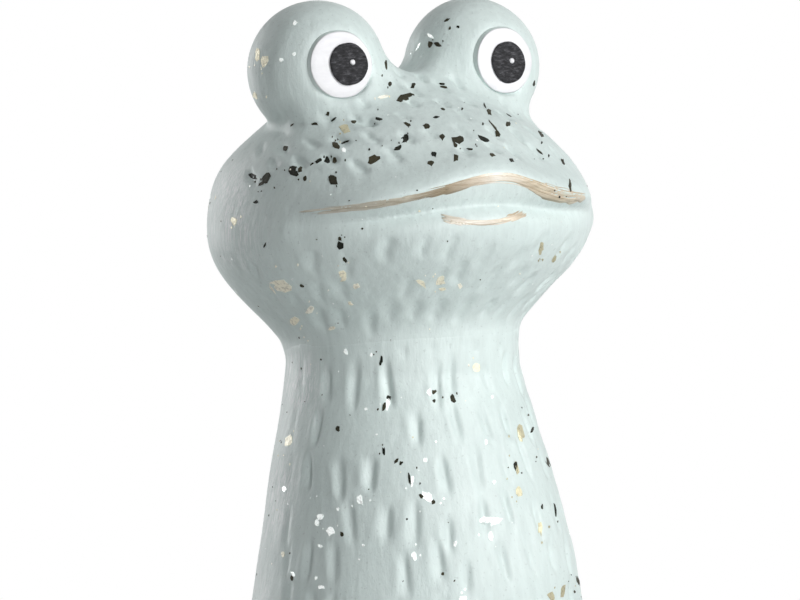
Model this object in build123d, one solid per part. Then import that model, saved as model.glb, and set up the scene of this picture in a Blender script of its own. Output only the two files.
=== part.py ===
from build123d import *
import math
import os

# Frog figurine: a hollow slip-cast ceramic ornament, luted together from separately cast pieces.
# Millimetres and degrees, +Z up. The frog faces -Y and its left side is +X.
# The origin lies on the table, under the middle of the figure's box.

# Ceramic walls
WALL = 5.0
FLOOR_WALL = 6.0
VENT_HOLE_DIAMETER = 8.0

# Body, as oval sections from the base up to the neck
BASE_WIDTH = 130.0
BASE_DEPTH = 126.0
BASE_FORWARD = 9.0
BASE_ROUNDING = 10.0
CAVITY_ROUNDING = 8.0
HIP_RISE = 36.5
HIP_WIDTH = 135.0
HIP_DEPTH = 131.0
HIP_FORWARD = 10.5
WAIST_RISE = 64.0
WAIST_WIDTH = 109.6
WAIST_DEPTH = 107.0
WAIST_FORWARD = 11.6
CHEST_RISE = 49.5
CHEST_WIDTH = 90.4
CHEST_DEPTH = 88.0
CHEST_FORWARD = 6.1
NECK_RISE = 34.5

# Neck joint between body and head, on a plane pitched back with the head
HEAD_PITCH = 8.0
COLLAR_DIAMETER = 76.0
CHIN_OVERHANG = 2.5
NECK_SLIP = 0.8
SLIP_SETBACK = 1.2
SPIGOT_HEIGHT = 6.0
SPIGOT_ROOT = 8.0
SPIGOT_WALL = 3.5
SPIGOT_CLEARANCE = 0.4
BORE_DEPTH = 20.0

# Head, a turned form: collar, jowl, widest level, brow and crown
HEAD_DIAMETER = 128.4
HEAD_EQUATOR_RISE = 41.5
HEAD_CROWN_RISE = 45.5
JOWL_DROP = 21.0
JOWL_INSET = 10.6
BROW_RISE = 29.7
BROW_INSET = 16.5
COLLAR_LEAN = 14.0

# Eye bulbs, discs and painted pupils
EYE_SPREAD = 57.8
EYE_FORWARD = 8.7
EYE_RISE = 2.8
EYE_SPLAY = 4.5
EYE_WIDTH = 47.0
EYE_DEPTH = 42.0
EYE_WALL = 4.0
EYE_VENT_DIAMETER = 6.0
DISC_DIAMETER = 23.2
DISC_THICKNESS = 2.3
DISC_ROUNDING = 0.6
PUPIL_DIAMETER = 13.6
PUPIL_THICKNESS = 0.3
PUPIL_OFFSET = 2.0
CATCHLIGHT_DIAMETER = 1.8
CATCHLIGHT_THICKNESS = 0.2
CATCHLIGHT_SIDE = 1.2
CATCHLIGHT_RISE = 0.5

# Lips, rolled on to the front of the head, and the gold brushed along them
UPPER_LIP_THICKNESS = 8.0
UPPER_LIP_RISE = 4.0
UPPER_LIP_PROUD = 2.2
UPPER_LIP_CURL = 124.0
UPPER_LIP_SPAN = 118.0
LOWER_LIP_THICKNESS = 9.0
LOWER_LIP_DROP = 5.5
LOWER_LIP_PROUD = 0.8
LOWER_LIP_CURL = 92.0
LOWER_LIP_SPAN = 72.0
GILDING_THICKNESS = 0.25
UPPER_GILDING_HEIGHT = 2.6
LOWER_GILDING_HEIGHT = 2.0
GILDING_DEPTH = 1.5

# Hind legs
HAUNCH_DIAMETER = 84.0
HAUNCH_THICKNESS = 52.0
HAUNCH_SINK = 15.0
HAUNCH_FORWARD = 2.0
HAUNCH_FLAT = 6.0
FOOT_ANGLE = 40.0
FOOT_YAW = 18.0
FOOT_PALM_DIAMETER = 36.0
FOOT_HEIGHT = 13.0
FOOT_TOE_REACH = 36.0
FOOT_TOE_DIAMETER = 12.0
FOOT_TOE_SPLAY = 24.0

# Front legs
SHOULDER_ANGLE = 38.0
SHOULDER_RISE = 79.0
SHOULDER_DIAMETER = 25.0
WRIST_RISE = 11.0
WRIST_DIAMETER = 17.0
HAND_ANGLE = 13.0
HAND_YAW = 5.0
HAND_PALM_DIAMETER = 22.0
HAND_HEIGHT = 10.0
HAND_TOE_REACH = 18.0
HAND_TOE_DIAMETER = 8.0
HAND_TOE_SPLAY = 27.0
TOE_COUNT = 3

# Rubber bumpers under the base
BUMPER_COUNT = 4
BUMPER_DIAMETER = 16.0
BUMPER_THICKNESS = 1.5
BUMPER_CIRCLE_DIAMETER = 84.0

# Levels and positions that follow from the sizes above
base_z = BUMPER_THICKNESS
hip_z = base_z + HIP_RISE
waist_z = hip_z + WAIST_RISE
chest_z = waist_z + CHEST_RISE
neck_z = chest_z + NECK_RISE
neck_depth = COLLAR_DIAMETER - CHIN_OVERHANG
neck_lead = neck_depth * math.tan(math.radians(HEAD_PITCH))
spigot_inset = WALL + SPIGOT_CLEARANCE
bore_inset = spigot_inset + SPIGOT_WALL
crown_rise = HEAD_EQUATOR_RISE + HEAD_CROWN_RISE
reach = 4 * (HEAD_DIAMETER + HIP_WIDTH)

up_the_neck = Vector(0, math.sin(math.radians(HEAD_PITCH)), math.cos(math.radians(HEAD_PITCH)))
neck_seam = Plane(origin=(0, 0, neck_z), x_dir=(1, 0, 0), z_dir=up_the_neck)
head_frame = neck_seam.offset(NECK_SLIP)


def oval(width, depth):
    """Flat oval whose seam stays on +X, whichever axis is the longer."""
    return scale(Circle(width / 2), by=(1, depth / width, 1))


def above(plane):
    """Block that fills one side of a plane."""
    return plane.location * Box(reach, reach, reach, align=(Align.CENTER, Align.CENTER, Align.MIN))


def turned(outline, top, bottom):
    """Solid turned about Z from an outline that runs between two points of the axis."""
    return revolve(Plane.XZ * make_face([*outline, Line((0, top), (0, bottom))]), Axis.Z)


def spheroid(diameter, thickness):
    """Ball turned about Z, pressed flat or drawn out along that axis."""
    half = thickness / 2
    oval_points = []
    for turn in (-90, -45, 0, 45, 90):
        angle = math.radians(turn)
        oval_points.append((diameter / 2 * math.cos(angle), half * math.sin(angle)))
    outline = Spline(oval_points, tangents=[(1, 0), (-1, 0)])
    return turned([outline], half, -half)


# Body
body_stations = [
    (base_z, BASE_WIDTH, BASE_DEPTH, BASE_FORWARD),
    (hip_z, HIP_WIDTH, HIP_DEPTH, HIP_FORWARD),
    (waist_z, WAIST_WIDTH, WAIST_DEPTH, WAIST_FORWARD),
    (chest_z, CHEST_WIDTH, CHEST_DEPTH, CHEST_FORWARD),
    (neck_z, COLLAR_DIAMETER, neck_depth, 0),
    (neck_z + neck_lead, COLLAR_DIAMETER, neck_depth, 0),
]


def body_section(level, width, depth, forward):
    return Pos(0, -forward, level) * oval(width, depth)


def make_body_outside():
    outside = loft([body_section(*station) for station in body_stations])
    base_edge = outside.edges().sort_by(Axis.Z)[0]
    return fillet(base_edge, BASE_ROUNDING) - above(neck_seam)


def make_body_cavity():
    floor_inset = WALL + CAVITY_ROUNDING
    stations = [(
        base_z + FLOOR_WALL, BASE_WIDTH - 2 * floor_inset, BASE_DEPTH - 2 * floor_inset, BASE_FORWARD,
    )]
    for level, width, depth, forward in body_stations[1:4]:
        stations.append((level, width - 2 * WALL, depth - 2 * WALL, forward))
    bore_diameter = COLLAR_DIAMETER - 2 * bore_inset
    stations.append((neck_z - neck_lead, bore_diameter, bore_diameter, 0))
    return loft([body_section(*station) for station in stations])


def make_body_shell(outside):
    from_top = (Align.CENTER, Align.CENTER, Align.MAX)
    top = neck_seam.offset(SPIGOT_HEIGHT).location
    length = SPIGOT_HEIGHT + BORE_DEPTH
    spigot = top * Cylinder(COLLAR_DIAMETER / 2 - spigot_inset, SPIGOT_HEIGHT + SPIGOT_ROOT, align=from_top)
    bore = top * Cylinder(COLLAR_DIAMETER / 2 - bore_inset, length, align=from_top)
    vent_hole = Pos(0, -BASE_FORWARD, base_z) * Cylinder(VENT_HOLE_DIAMETER / 2, 4 * FLOOR_WALL)
    return outside + spigot - make_body_cavity() - bore - vent_hole


def make_neck_slip():
    ring = oval(COLLAR_DIAMETER - 2 * SLIP_SETBACK, neck_depth - 2 * SLIP_SETBACK)
    return neck_seam.location * extrude(ring - Circle(COLLAR_DIAMETER / 2 - WALL), NECK_SLIP)


# Head
def make_head_form(inset):
    """Turned form of the head in its own frame, drawn in by a wall all round."""
    slant = inset * math.sqrt(0.5)
    radius = HEAD_DIAMETER / 2
    collar = (COLLAR_DIAMETER / 2 - inset, 0)
    jowl = (radius - JOWL_INSET - slant, HEAD_EQUATOR_RISE - JOWL_DROP + slant)
    side = (radius - inset, HEAD_EQUATOR_RISE)
    brow = (radius - BROW_INSET - slant, HEAD_EQUATOR_RISE + BROW_RISE - slant)
    crown = (0, crown_rise - inset)
    lean = (math.sin(math.radians(COLLAR_LEAN)), math.cos(math.radians(COLLAR_LEAN)))
    lower = Spline(collar, jowl, side, tangents=[lean, (0, 1)])
    upper = Spline(side, brow, crown, tangents=[(0, 1), (-1, 0)])
    return turned([Line((0, 0), collar), lower, upper], crown_rise - inset, 0)


def eye_place(side):
    """Frame of an eye on the head, looking along its own -Y."""
    centre = Pos(side * EYE_SPREAD / 2, -EYE_FORWARD, crown_rise + EYE_RISE)
    return head_frame.location * centre * Rot(0, 0, side * EYE_SPLAY)


def make_eye_vent(side):
    """Vent through the head wall under an eye bulb, so that the sealed bulb can breathe in the kiln."""
    return eye_place(side) * Pos(0, 0, -EYE_WIDTH / 2) * Cylinder(EYE_VENT_DIAMETER / 2, EYE_WIDTH)


def make_head_shell(head_outside):
    shell = head_outside - head_frame.location * make_head_form(WALL)
    for side in (-1, 1):
        shell -= make_eye_vent(side)
    return shell


# Eyes
disc_seat = EYE_DEPTH / 2 * math.sqrt(1 - (DISC_DIAMETER / EYE_WIDTH) ** 2)
facing = Rot(90, 0, 0)


def make_eye_bulb(side, head_outside):
    outside = spheroid(EYE_WIDTH, EYE_DEPTH) - above(Plane.XY.offset(disc_seat))
    inside = spheroid(EYE_WIDTH - 2 * EYE_WALL, EYE_DEPTH - 2 * EYE_WALL)
    inside -= above(Plane.XY.offset(disc_seat - EYE_WALL))
    return eye_place(side) * facing * (outside - inside) - head_outside


def make_eye_disc(side):
    disc = extrude(Circle(DISC_DIAMETER / 2), DISC_THICKNESS)
    rim = disc.edges().sort_by(Axis.Z)[-1]
    return eye_place(side) * Pos(0, -disc_seat, 0) * facing * fillet(rim, DISC_ROUNDING)


def make_pupil(side):
    pupil = extrude(Circle(PUPIL_DIAMETER / 2), PUPIL_THICKNESS)
    return eye_place(side) * Pos(PUPIL_OFFSET, -disc_seat - DISC_THICKNESS, 0) * facing * pupil


def make_catchlight(side):
    spot = extrude(Circle(CATCHLIGHT_DIAMETER / 2), CATCHLIGHT_THICKNESS)
    face = -disc_seat - DISC_THICKNESS - PUPIL_THICKNESS
    return eye_place(side) * Pos(PUPIL_OFFSET + CATCHLIGHT_SIDE, face, CATCHLIGHT_RISE) * facing * spot


# Lips
def lip_ring(thickness, outer_radius, centre_forward, rise):
    """Round roll of clay bent to a ring about the head's axis or a point in front of it."""
    return Pos(0, -centre_forward, rise) * Torus(outer_radius - thickness / 2, thickness / 2)


def gilding_ring(height, outer_radius, centre_forward, rise):
    """Band that lies over the crest of a lip, one coat of gold proud of it."""
    outer = Circle(outer_radius + GILDING_THICKNESS) - Circle(outer_radius - GILDING_DEPTH)
    return Pos(0, -centre_forward, rise) * extrude(outer, height / 2, both=True)


def front_of_head(span):
    """Block in front of the face, as wide as the stretch of lip that is kept."""
    return Box(span, reach, reach, align=(Align.CENTER, Align.MAX, Align.CENTER))


def make_lips(head_form):
    """Both lips and the gold on them, in the head's frame, seated on the head's outside."""
    upper_rise = HEAD_EQUATOR_RISE + UPPER_LIP_RISE
    upper_ring = (UPPER_LIP_CURL / 2, HEAD_DIAMETER / 2 + UPPER_LIP_PROUD - UPPER_LIP_CURL / 2, upper_rise)
    lower_rise = HEAD_EQUATOR_RISE - LOWER_LIP_DROP
    lower_ring = (LOWER_LIP_CURL / 2, HEAD_DIAMETER / 2 + LOWER_LIP_PROUD - LOWER_LIP_CURL / 2, lower_rise)
    upper_roll = lip_ring(UPPER_LIP_THICKNESS, *upper_ring)
    lower_roll = lip_ring(LOWER_LIP_THICKNESS, *lower_ring)
    upper_gold = gilding_ring(UPPER_GILDING_HEIGHT, *upper_ring)
    lower_gold = gilding_ring(LOWER_GILDING_HEIGHT, *lower_ring)
    upper_block = front_of_head(UPPER_LIP_SPAN)
    lower_block = front_of_head(LOWER_LIP_SPAN)
    upper_lip = (upper_roll & upper_block) - head_form
    lower_lip = (lower_roll & lower_block) - head_form - upper_roll
    return {
        "upper_lip": upper_lip,
        "lower_lip": lower_lip,
        "upper_lip_gilding": (upper_gold & upper_block) - upper_roll - head_form,
        "lower_lip_gilding": (lower_gold & lower_block) - lower_roll - head_form - upper_roll,
    }


# Legs
def body_surface(level, angle):
    """Point on the body's side at a level, turned by an angle from straight ahead towards +X."""
    for low, high in zip(body_stations, body_stations[1:]):
        if level <= high[0]:
            break
    share = (level - low[0]) / (high[0] - low[0])
    width, depth, forward = (a + share * (b - a) for a, b in zip(low[1:], high[1:]))
    turn = math.radians(angle)
    return Vector(width / 2 * math.sin(turn), -forward - depth / 2 * math.cos(turn), level)


def taper(start, end, start_diameter, end_diameter):
    """Limb with ball ends that tapers from one point to another."""
    run = end - start
    side = Polyline((0, 0), (start_diameter / 2, 0), (end_diameter / 2, run.length), (0, run.length))
    limb = Plane(origin=start, z_dir=run).location * turned(side.edges(), run.length, 0)
    return limb + Pos(start) * Sphere(start_diameter / 2) + Pos(end) * Sphere(end_diameter / 2)


def make_paw(palm_diameter, height, toe_reach, toe_diameter, toe_splay):
    """Flat-soled paw pointing along -Y, with its toes spread like a fan."""
    paw = spheroid(palm_diameter, 2 * height)
    root = Vector(0, 0, toe_diameter / 4)
    for toe in range(TOE_COUNT):
        turn = math.radians(toe_splay * (toe - (TOE_COUNT - 1) / 2))
        tip = Vector(toe_reach * math.sin(turn), -toe_reach * math.cos(turn), toe_diameter / 4)
        paw += taper(root, tip, toe_diameter, toe_diameter)
    return paw & above(Plane.XY)


def make_haunch(body_outside):
    """Folded thigh against the frog's left flank."""
    centre = Pos(HIP_WIDTH / 2 - HAUNCH_SINK, -HIP_FORWARD - HAUNCH_FORWARD, base_z + HAUNCH_DIAMETER / 2 - HAUNCH_FLAT)
    thigh = centre * Rot(0, 90, 0) * spheroid(HAUNCH_DIAMETER, HAUNCH_THICKNESS)
    return (thigh & above(Plane.XY.offset(base_z))) - body_outside


def make_foot(body_outside, haunch):
    """Three-toed hind foot on the frog's left."""
    paw = make_paw(FOOT_PALM_DIAMETER, FOOT_HEIGHT, FOOT_TOE_REACH, FOOT_TOE_DIAMETER, FOOT_TOE_SPLAY)
    return Pos(body_surface(base_z, FOOT_ANGLE)) * Rot(0, 0, FOOT_YAW) * paw - body_outside - haunch


def make_arm(body_outside):
    """Front leg with its hand on the frog's left, lying along the belly."""
    hand_place = body_surface(base_z, HAND_ANGLE)
    paw = make_paw(HAND_PALM_DIAMETER, HAND_HEIGHT, HAND_TOE_REACH, HAND_TOE_DIAMETER, HAND_TOE_SPLAY)
    shoulder = body_surface(base_z + SHOULDER_RISE, SHOULDER_ANGLE)
    wrist = hand_place + Vector(0, 0, WRIST_RISE)
    arm = taper(shoulder, wrist, SHOULDER_DIAMETER, WRIST_DIAMETER)
    return arm + Pos(hand_place) * Rot(0, 0, HAND_YAW) * paw - body_outside


# Rubber bumpers
def make_bumpers():
    bumpers = []
    for turn in range(BUMPER_COUNT):
        angle = math.radians(360 / BUMPER_COUNT * (turn + 0.5))
        x = BUMPER_CIRCLE_DIAMETER / 2 * math.cos(angle)
        y = BUMPER_CIRCLE_DIAMETER / 2 * math.sin(angle) - BASE_FORWARD
        bumpers.append(Pos(x, y, 0) * extrude(Circle(BUMPER_DIAMETER / 2), BUMPER_THICKNESS))
    return Compound(bumpers)


def make_pieces():
    body_outside = make_body_outside()
    head_form = make_head_form(0)
    head_outside = head_frame.location * head_form
    pieces = {
        "body_shell": make_body_shell(body_outside),
        "neck_slip_joint": make_neck_slip(),
        "head_shell": make_head_shell(head_outside),
        "base_bumpers": make_bumpers(),
    }
    for name, lip in make_lips(head_form).items():
        pieces[name] = head_frame.location * lip
    for side, hand in ((-1, "right"), (1, "left")):
        pieces["eye_bulb_" + hand] = make_eye_bulb(side, head_outside)
        pieces["eye_disc_" + hand] = make_eye_disc(side)
        pieces["pupil_" + hand] = make_pupil(side)
        pieces["catchlight_" + hand] = make_catchlight(side)
    haunch = make_haunch(body_outside)
    limbs = {"haunch": haunch, "foot": make_foot(body_outside, haunch), "arm": make_arm(body_outside)}
    for name, limb in limbs.items():
        pieces[name + "_left"] = limb
        pieces[name + "_right"] = mirror(limb, about=Plane.YZ)
    return pieces


pieces = make_pieces()
boxes = [piece.bounding_box() for piece in pieces.values()]
middle = (min(box.min.Y for box in boxes) + max(box.max.Y for box in boxes)) / 2
os.makedirs("parts", exist_ok=True)
for name, piece in pieces.items():
    export_step(Pos(0, -middle, 0) * piece, "parts/" + name + ".step")
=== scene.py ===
import math

import bpy
import numpy as np
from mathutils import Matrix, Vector
from mathutils.bvhtree import BVHTree


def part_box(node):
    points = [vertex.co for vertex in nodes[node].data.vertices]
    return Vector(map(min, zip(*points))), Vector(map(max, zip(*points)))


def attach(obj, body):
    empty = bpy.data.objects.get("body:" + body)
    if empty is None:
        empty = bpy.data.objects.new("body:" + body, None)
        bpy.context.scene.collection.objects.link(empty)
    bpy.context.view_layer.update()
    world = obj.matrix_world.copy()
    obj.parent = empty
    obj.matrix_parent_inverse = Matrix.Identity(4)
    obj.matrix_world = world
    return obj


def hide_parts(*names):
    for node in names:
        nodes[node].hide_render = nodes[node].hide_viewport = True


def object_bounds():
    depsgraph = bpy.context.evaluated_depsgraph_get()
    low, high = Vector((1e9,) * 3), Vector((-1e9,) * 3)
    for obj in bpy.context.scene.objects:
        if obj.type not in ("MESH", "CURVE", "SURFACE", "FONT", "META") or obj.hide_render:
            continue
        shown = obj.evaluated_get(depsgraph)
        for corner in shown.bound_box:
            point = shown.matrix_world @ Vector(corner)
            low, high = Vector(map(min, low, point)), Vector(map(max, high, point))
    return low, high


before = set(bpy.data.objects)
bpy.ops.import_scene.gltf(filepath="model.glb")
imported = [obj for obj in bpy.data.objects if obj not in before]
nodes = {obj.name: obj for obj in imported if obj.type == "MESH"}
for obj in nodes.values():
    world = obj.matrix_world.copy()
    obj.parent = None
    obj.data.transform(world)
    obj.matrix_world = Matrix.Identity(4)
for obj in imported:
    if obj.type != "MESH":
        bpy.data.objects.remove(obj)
cad_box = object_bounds()

# Lengths in this script are millimetres until they go to Blender, and angles are degrees.
MM = 0.001
SEED = 20
FAR = 300.0
TINY = 1e-6
FORWARD = (0, -1, 0)
UPWARD = (0, 0, 1)

# Camera of the photograph
PHOTO_SIZE = (800, 600)
PHOTO_MM_PER_PIXEL = 0.33
CAMERA_AZIMUTH = -29.0
CAMERA_ELEVATION = 5.5
CAMERA_DISTANCE = 1600.0
CAMERA_TARGET_HEIGHT = 200.7
SENSOR_WIDTH = 36.0

# Light and floor
# A lamp is its azimuth, elevation, distance, width, height and power.
LAMPS = {
    "key": (31, 28, 1250, 450, 550, 10.4),
    "front": (-8, 20, 1400, 500, 500, 6.0),
    "rim_strip": (-160, 8, 1100, 200, 900, 5.0),
}
LAMP_TARGET_HEIGHT = 170.0
WORLD_FILL = 0.155
WORLD_CEILING = 0.06
WORLD_CEILING_START = 0.7
WORLD_TINT = (0.95, 0.98, 1.0)
FLOOR_RADIUS = 6000.0
FLOOR_FADE = (300.0, 550.0)

# Sizes of the head skin
# A level is a height above the collar along the head's own axis. A bulge is a size, a level and a spread.
HEAD_STEP = 0.95
HEAD_MARGIN = 4.0
HEAD_FOOT_STEPS = 3.5
HEAD_WIDEST = 0.998
COLLAR_BAND = 0.1
HEAD_NORMAL_WIDTH = 0.8
HEAD_FORWARD = (4.0, 31.0, 13.0)
HEAD_ASIDE = (1.4, 50.0, 8.0)
PROFILE_STEPS = 240
PROFILE_SMOOTHING = 2.5
PROFILE_LEAST_SINE = 0.05
PROFILE_TRIM_ANGLES = (0, 25, 45, 58, 72, 88, 105, 118, 126, 132, 140, 160, 180)
PROFILE_TRIM = (0.0, 0.0, -1.0, -1.9, -2.1, -0.9, 0.2, 2.3, 2.1, 1.3, -0.7, -2.5, -2.5)
SETTLE_PASSES = 3
WOBBLE = 0.22
WOBBLE_WAVES = 9
WOBBLE_PITCHES = (0.7, 1.5)
HEAD_WOBBLE_LENGTH = 30.0
HEAD_NECK_FADE = (-2.0, 3.0)
HEAD_EYE_FADE = (1.0, 6.0)

# Eyes and their paint
# The steps of a profile are pairs of an inset from the rim and a height.
EYE_DEPTH = 42.0
EYE_BLEND_SIDE = 4.2
EYE_BLEND_FRONT = 9.0
EYE_BLEND_CROWN = 7.0
EYE_FRONT_FADE = (2, 17)
EYE_CROWN_FADE = (4, 18)
EYE_TRIM = 0.6
SOCKET_FADE = (4, 14)
SOCKET_RIM = 0.3
SOCKET_RIM_GAP = 1.8
SOCKET_RIM_SPREAD = 1.7
DISC_CLEAR = -0.5
DISC_SEAT_RISE = 0.9
DISC_CLEAR_BLEND = 1.2
DISC_LOWERED = 0.4
DISC_UNEVEN = 0.012
DISC_WALL_FOOT = ((0.1, -2.5), (0.2, 0.3), (0.5, 0.9))
DISC_WALL_RIM = ((0.8, -0.5), (0.95, -0.25), (1.6, -0.15))
DISC_FACE = ((1.6, -0.5), (0.8, -0.28), (0.76, -0.12), (1.15, 0.04), (2.8, 0.1))
DISC_CROWN = 0.15
PUPIL_UNEVEN = 0.02
PUPIL_PAINT = ((0.2, -0.2), (0.0, 0.1), (0.15, 0.26), (0.8, 0.34))
PUPIL_CROWN = 0.38
PUPIL_NUDGE = {"right": (0.4, 0.0, 0.1), "left": (-0.9, 0.0, -0.7)}
CATCHLIGHT_UNEVEN = 0.05
CATCHLIGHT_DOT = ((0.0, -0.2), (0.0, 0.2), (0.2, 0.4))
CATCHLIGHT_CROWN = 0.5
TURNED_COLUMNS = 96

# Tool marks
# Along the mould seam on each flank they are fettled away, and there the glaze carries pale streaks: a
# painted reflection of a strip light.
MARK_STEEPNESS = 1.5
MARK_RIM = 0.22
MARK_RIM_PLACE = 2.0
MARK_RIM_SPREAD = 0.8
MARK_ENDS = 0.75
MARK_CHANCE = 0.92
MARK_TURN_SPREAD = 0.12
MARK_WIDTHS = (0.85, 1.2)
MARK_LENGTHS = (0.75, 1.2)
MARK_DEPTHS = (0.6, 1.15)
MARK_FLARES = (-0.3, 0.3)
MARK_LEAST_FLARE = 0.3
MARK_LEAN_SPREAD = 5.0
MARK_LEAN_FADE = (70, 105)
MARK_TWIST_LIMITS = (-45, 60)
SEAM_START = (72, 90)
SEAM_END = (116, 136)
SEAM_EASE = 0.9
# Painted reflection: pale streaks running down each flank where a strip light would reflect.
REFLECTION_STREAK_TURNS = ((82, 0), (98, 1), (118, 1), (136, 0))
REFLECTION_STREAK_LEVELS = ((-100, 0), (-50, 1), (-6, 1), (2, 0), (24, 0), (34, 1), (54, 1), (64, 0))
REFLECTION_STREAK_SHARE = 0.75
REFLECTION_STREAK_COLOUR = (0.88, 0.90, 0.91)
CHIN_ROWS = (26.0, 16.8, 8.0)
CHIN_FADE = (30.0, 34.0)
CHIN_GIRTH = 1.3
CHIN_MARKS = {"pitch": 9.0, "size": (1.9, 5.2), "lean": -24, "depth": 0.95, "jitter": 1.2}
BROW_ROWS = (30, 39, 48, 57, 66, 75)
BROW_FADE = (3, 9)
BROW_GIRTH = 0.92
BROW_MARKS = {"pitch": 10.5, "size": (1.5, 5.0), "lean": -26, "depth": 1.15, "jitter": 1.2, "twist": 0.7}
BODY_FIRST_ROW = 14.0
BODY_ROW = 14.8
BODY_MARKS = {"pitch": 11.6, "size": (1.8, 8.4), "lean": 0, "depth": 1.25, "jitter": 1.8}

# Sizes of the mouth
LIP_LEVEL = 42.0
LIP_PEAK = 7.0
LIP_PEAK_TURN = 2.5
LIP_PEAK_SPREAD = (16.0, 9.8)
LIP_PROUD = 5.4
LIP_FALL = 6.0
LIP_UNDERCUT = 1.3
LIP_LEAST_HEIGHT = 2.0
CREASE_LEVEL = 38.3
CREASE_PEAK = 2.8
CREASE_PEAK_SPREAD = (18.0, 12.0)
CREASE_DEPTH = 1.7
CREASE_LEDGE = 6.0
CREASE_CLIMB = 1.5
LOWER_LIP_PROUD = 0.9
LOWER_LIP_DROP = 4.5
LOWER_LIP_FALL = 8.0
LOWER_LIP_SPREAD = 26.0
MOUTH_FADE = (26.0, 60.0)
MOUTH_CORNER = (61.0, 36.5)
MOUTH_CORNER_PROUD = 1.0
MOUTH_CORNER_SPREAD = 3.2

# Sizes of the body skin
BODY_FORWARD = (1.4, 168.0, 16.0)
BODY_COLUMNS = 640
BODY_RINGS = 152
BODY_LEVELS = 400
BODY_SHARP_LEVELS = 14
BODY_SMOOTHING = 3.0
BODY_WOBBLE_LENGTH = 34.0
BODY_MARK_FADE = (6, 14)
BASE_CLEAR = 0.02
BASE_HEIGHT = 12.0
BASE_RINGS = 14
BASE_EASE = 1.6
BASE_INNER = 0.6
NECK_CLEAR = 2.0
NECK_BLEND = 2.6
NECK_REACH = 1.5
NECK_RISE = 2.0
NECK_SINK = 0.14
NECK_STUB = 9.0
NECK_TUCK = 9.0
NECK_MARK_FADE = (1, 6)
NECK_WOBBLE_FADE = (0, 4)
NECK_PASSES = 4
VENT_RADIUS = 4.0
VENT_DEPTH = 6.0
VENT_CHAMFER = 0.8

# Limbs and bumpers
LIMB_VOXEL = 0.75
LIMB_ROOT = 4.0
LIMB_SOFTNESS = 0.5
LIMB_SMOOTHING = 14
LIMB_WOBBLE_LENGTH = 22.0
HAUNCH_RADIUS = 42.0
HAUNCH_SWELL = 26.0
HAUNCH_CHEEK = (33.0, 41.0)
HAUNCH_FACING = 0.2
BUMPER_FOOT = ((0.5, 0.0), (0.15, 0.12), (0.0, 0.5))
BUMPER_TOP = ((0.0, -0.05), (1.0, 0.3))
BUMPER_UNEVEN = 0.004

# Brushed gold
# A wash is its offset from the lip line, its two end angles and its half width.
# The head and the tail of the lower stroke are a spread of the tufts, a half width and a lift.
GILDED_HALF_WIDTH = 60.0
UPPER_GOLD = (
    (0.05, (0.62, 0.61, 0.54)), (0.26, (0.54, 0.50, 0.41)), (0.36, (0.32, 0.26, 0.17)),
    (0.46, (0.68, 0.60, 0.49)), (0.51, (0.84, 0.80, 0.72)), (0.62, (0.64, 0.56, 0.43)),
    (0.80, (0.70, 0.63, 0.50)),
)
LOWER_GOLD = (
    (0.34, (0.56, 0.51, 0.41)), (0.42, (0.78, 0.74, 0.67)), (0.52, (0.74, 0.67, 0.57)),
    (0.58, (0.62, 0.53, 0.41)),
)
UPPER_STROKE = (-56.0, 35.0)
UPPER_STROKE_HEIGHT = 2.6
UPPER_WASH_LIFT = 0.04
UPPER_DRY_START = 30.0
UPPER_DRY_RUN = (5, 20)
UPPER_DRY_GAP = (0.9, 2.2)
UPPER_DRY_WIDTH = (0.06, 0.13)
UPPER_DRY_SPREAD = 0.75
UPPER_DRY_LIFT = 0.07
UPPER_FULL_START = (-24, 4)
UPPER_FULL_RUN = (16, 44)
UPPER_FULL_WIDTH = (0.08, 0.2)
UPPER_FULL_SPREAD = 1.15
UPPER_FULL_LIFT = 0.08
UPPER_DRY_END = -14.0
UPPER_TUFTS = 12
UPPER_WASHES = (
    (0.5, -56, -24, 0.5), (-0.4, -50, -14, 0.6), (0.1, -30, 4, 0.9), (-0.2, -19, -4, 1.3),
    (-0.4, -14, 16, 1.0), (0.7, -8, 20, 0.9), (-0.1, 5, 36, 2.0), (-1.2, 10, 32, 1.0),
)
LOWER_STROKE = (-15.5, 13.0)
LOWER_STROKE_MIDDLE = -2.6
LOWER_STROKE_LEVEL = 34.8
LOWER_STROKE_CURL = 3.0
LOWER_STROKE_REACH = 13.5
LOWER_STROKE_HEIGHT = 1.3
LOWER_STROKE_WIDTH = (0.15, 0.28)
LOWER_STROKE_LIFT = 0.06
LOWER_TUFT_LIFT = 0.006
LOWER_START_SPREAD = 2.5
LOWER_END_SPREAD = 4.0
LOWER_HEAD_RUN = (4, 7)
LOWER_HEAD = (1.6, 0.3, 0.07)
LOWER_TAIL_RUN = (5, 8)
LOWER_TAIL = (1.5, 0.25, 0.07)
LOWER_TUFTS = 8
BRISTLE_STEP = 1.2
BRISTLE_LEAST_STEPS = 8
BRISTLE_SWAY = 0.13
BRISTLE_SWAYS = 6
BRISTLE_SWELL = (0.55, 1.25)
BRISTLE_SWELLS = 9
BRISTLE_SPLAY = 0.15
BRISTLE_BLUNTNESS = 6
BRISTLE_TIP = 0.01
BRISTLE_ACROSS = (1, 0.5, 0, -0.5, -1)
BRISTLE_SINK = 0.35
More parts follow.
